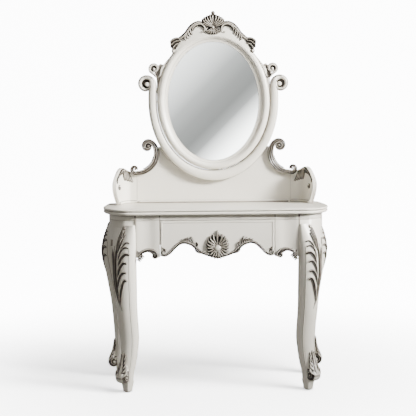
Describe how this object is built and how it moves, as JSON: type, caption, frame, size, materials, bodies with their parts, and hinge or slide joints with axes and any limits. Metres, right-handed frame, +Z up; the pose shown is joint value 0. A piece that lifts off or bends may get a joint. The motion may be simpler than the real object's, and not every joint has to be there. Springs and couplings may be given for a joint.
{
  "type": "vanity table with mirror",
  "caption": "Carved and painted vanity table with cabriole legs, a scalloped drawer, a low gallery with scrolled wings, and an oval swing mirror held in a yoke.",
  "frame": {"origin": "centre of the bounding box's base, on the floor under the middle of the table", "axes": "+Z up, the front with the drawer faces -Y, +X to the right of a person facing the front"},
  "size_m": [0.994, 0.43, 1.601],
  "materials": {
    "ivory_paint": "hand-rubbed ivory paint on hardwood, satin",
    "glazed_carving": "carved wood, ivory paint under a wiped silver-grey and umber glaze",
    "beech": "planed, clear sealed",
    "plywood": "sanded, clear sealed",
    "mirror_silver": "silvered float glass",
    "brass": "turned, plain",
    "zinc_steel": "zinc plated",
    "nylon_glide": "moulded nylon"
  },
  "bodies": {
    "table": {"table_top": "ivory_paint", "top_rail_front": "ivory_paint", "apron_rear": "ivory_paint", "gallery_board": "ivory_paint", "gallery_foot_moulding": "ivory_paint", "mirror_yoke": "ivory_paint", "leg_front_left": "ivory_paint", "leg_front_right": "ivory_paint", "leg_rear_left": "ivory_paint", "leg_rear_right": "ivory_paint", "apron_panel_left": "ivory_paint", "apron_panel_right": "ivory_paint", "apron_end_left": "ivory_paint", "apron_end_right": "ivory_paint", "gallery_wing_left": "ivory_paint", "gallery_wing_right": "ivory_paint", "apron_scroll_left": "glazed_carving", "apron_scroll_right": "glazed_carving", "gallery_scroll_left": "glazed_carving", "gallery_scroll_right": "glazed_carving", "drawer_guide_left": "beech", "drawer_guide_right": "beech", "drawer_stop_left": "beech", "drawer_stop_right": "beech", "yoke_screw_left": "zinc_steel", "yoke_screw_right": "zinc_steel", "glide_front_left": "nylon_glide", "glide_front_right": "nylon_glide", "glide_rear_left": "nylon_glide", "glide_rear_right": "nylon_glide"},
    "drawer": {"drawer_front": "ivory_paint", "drawer_shell": "glazed_carving", "drawer_back": "beech", "drawer_bottom": "plywood", "drawer_side_left": "beech", "drawer_side_right": "beech", "drawer_scroll_left": "glazed_carving", "drawer_scroll_right": "glazed_carving"},
    "mirror": {"mirror_frame": "ivory_paint", "mirror_glass": "mirror_silver", "mirror_backing": "plywood", "mirror_head_board": "ivory_paint", "crest_shell": "glazed_carving", "crest_scroll_left": "glazed_carving", "crest_scroll_right": "glazed_carving", "crest_leaf_left": "glazed_carving", "crest_leaf_right": "glazed_carving", "mirror_ear_left": "glazed_carving", "mirror_ear_right": "glazed_carving", "pivot_pin_left": "brass", "pivot_pin_right": "brass"}
  },
  "joints": [
    {"name": "drawer_slide", "type": "slide", "parent": "table", "child": "drawer", "axis": [0, -1, 0], "range_m": [0, 0.22]},
    {"name": "mirror_tilt", "type": "hinge", "parent": "table", "child": "mirror", "pos_m": [0, 0.168, 1.208], "axis": [1, 0, 0], "range_deg": [-12, 12]}
  ]
}
